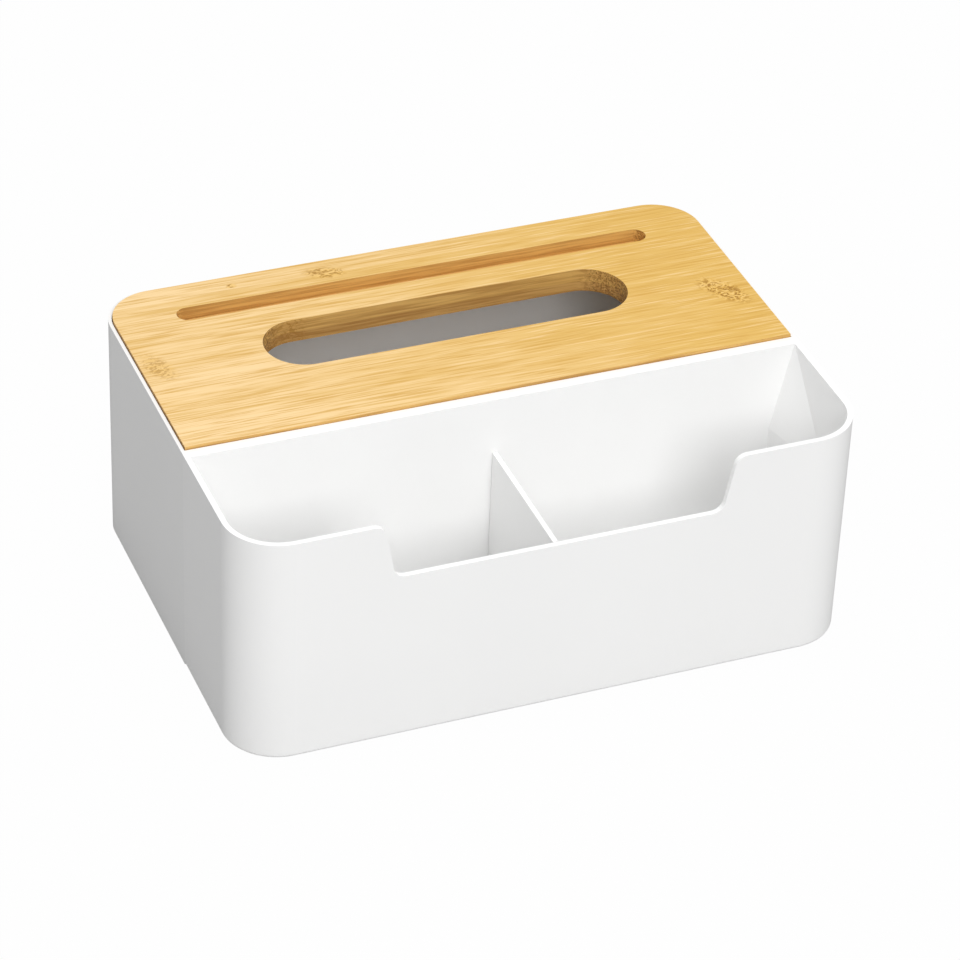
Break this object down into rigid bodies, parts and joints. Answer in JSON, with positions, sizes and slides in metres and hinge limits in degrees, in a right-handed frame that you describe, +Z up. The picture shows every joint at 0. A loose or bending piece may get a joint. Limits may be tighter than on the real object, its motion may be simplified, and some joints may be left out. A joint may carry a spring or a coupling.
{
  "type": "tissue box with drawer",
  "caption": "Desktop tissue box: white plastic housing, lift-off bamboo lid with tissue slot and phone groove, and a notched compartment drawer across the front.",
  "frame": {"origin": "middle of the underside of the feet, at the centre of the whole box in plan", "axes": "+Z up, -Y towards the drawer front, +X to the right seen from the front"},
  "size_m": [0.25, 0.1784, 0.0995],
  "materials": {
    "white_plastic": "satin",
    "drawer_plastic": "satin",
    "bamboo_face": "oiled, satin",
    "bamboo_core": "oiled, satin",
    "foot_rubber": "matt"
  },
  "bodies": {
    "housing": {"tissue_housing": "white_plastic", "foot_front_left": "foot_rubber", "foot_front_right": "foot_rubber", "foot_rear_left": "foot_rubber", "foot_rear_right": "foot_rubber"},
    "drawer": {"front_drawer": "drawer_plastic"},
    "divider": {"drawer_divider": "drawer_plastic"},
    "lid": {"lid_upper_ply": "bamboo_face", "lid_lower_ply": "bamboo_core"}
  },
  "joints": [
    {"name": "drawer_slide", "type": "slide", "parent": "housing", "child": "drawer", "axis": [0, -1, 0], "range_m": [0, 0.06]},
    {"name": "divider_lift", "type": "slide", "parent": "drawer", "child": "divider", "axis": [0, 0, 1], "range_m": [0, 0.08]},
    {"name": "lid_lift", "type": "slide", "parent": "housing", "child": "lid", "axis": [0, 0, 1], "range_m": [0, 0.08]}
  ]
}
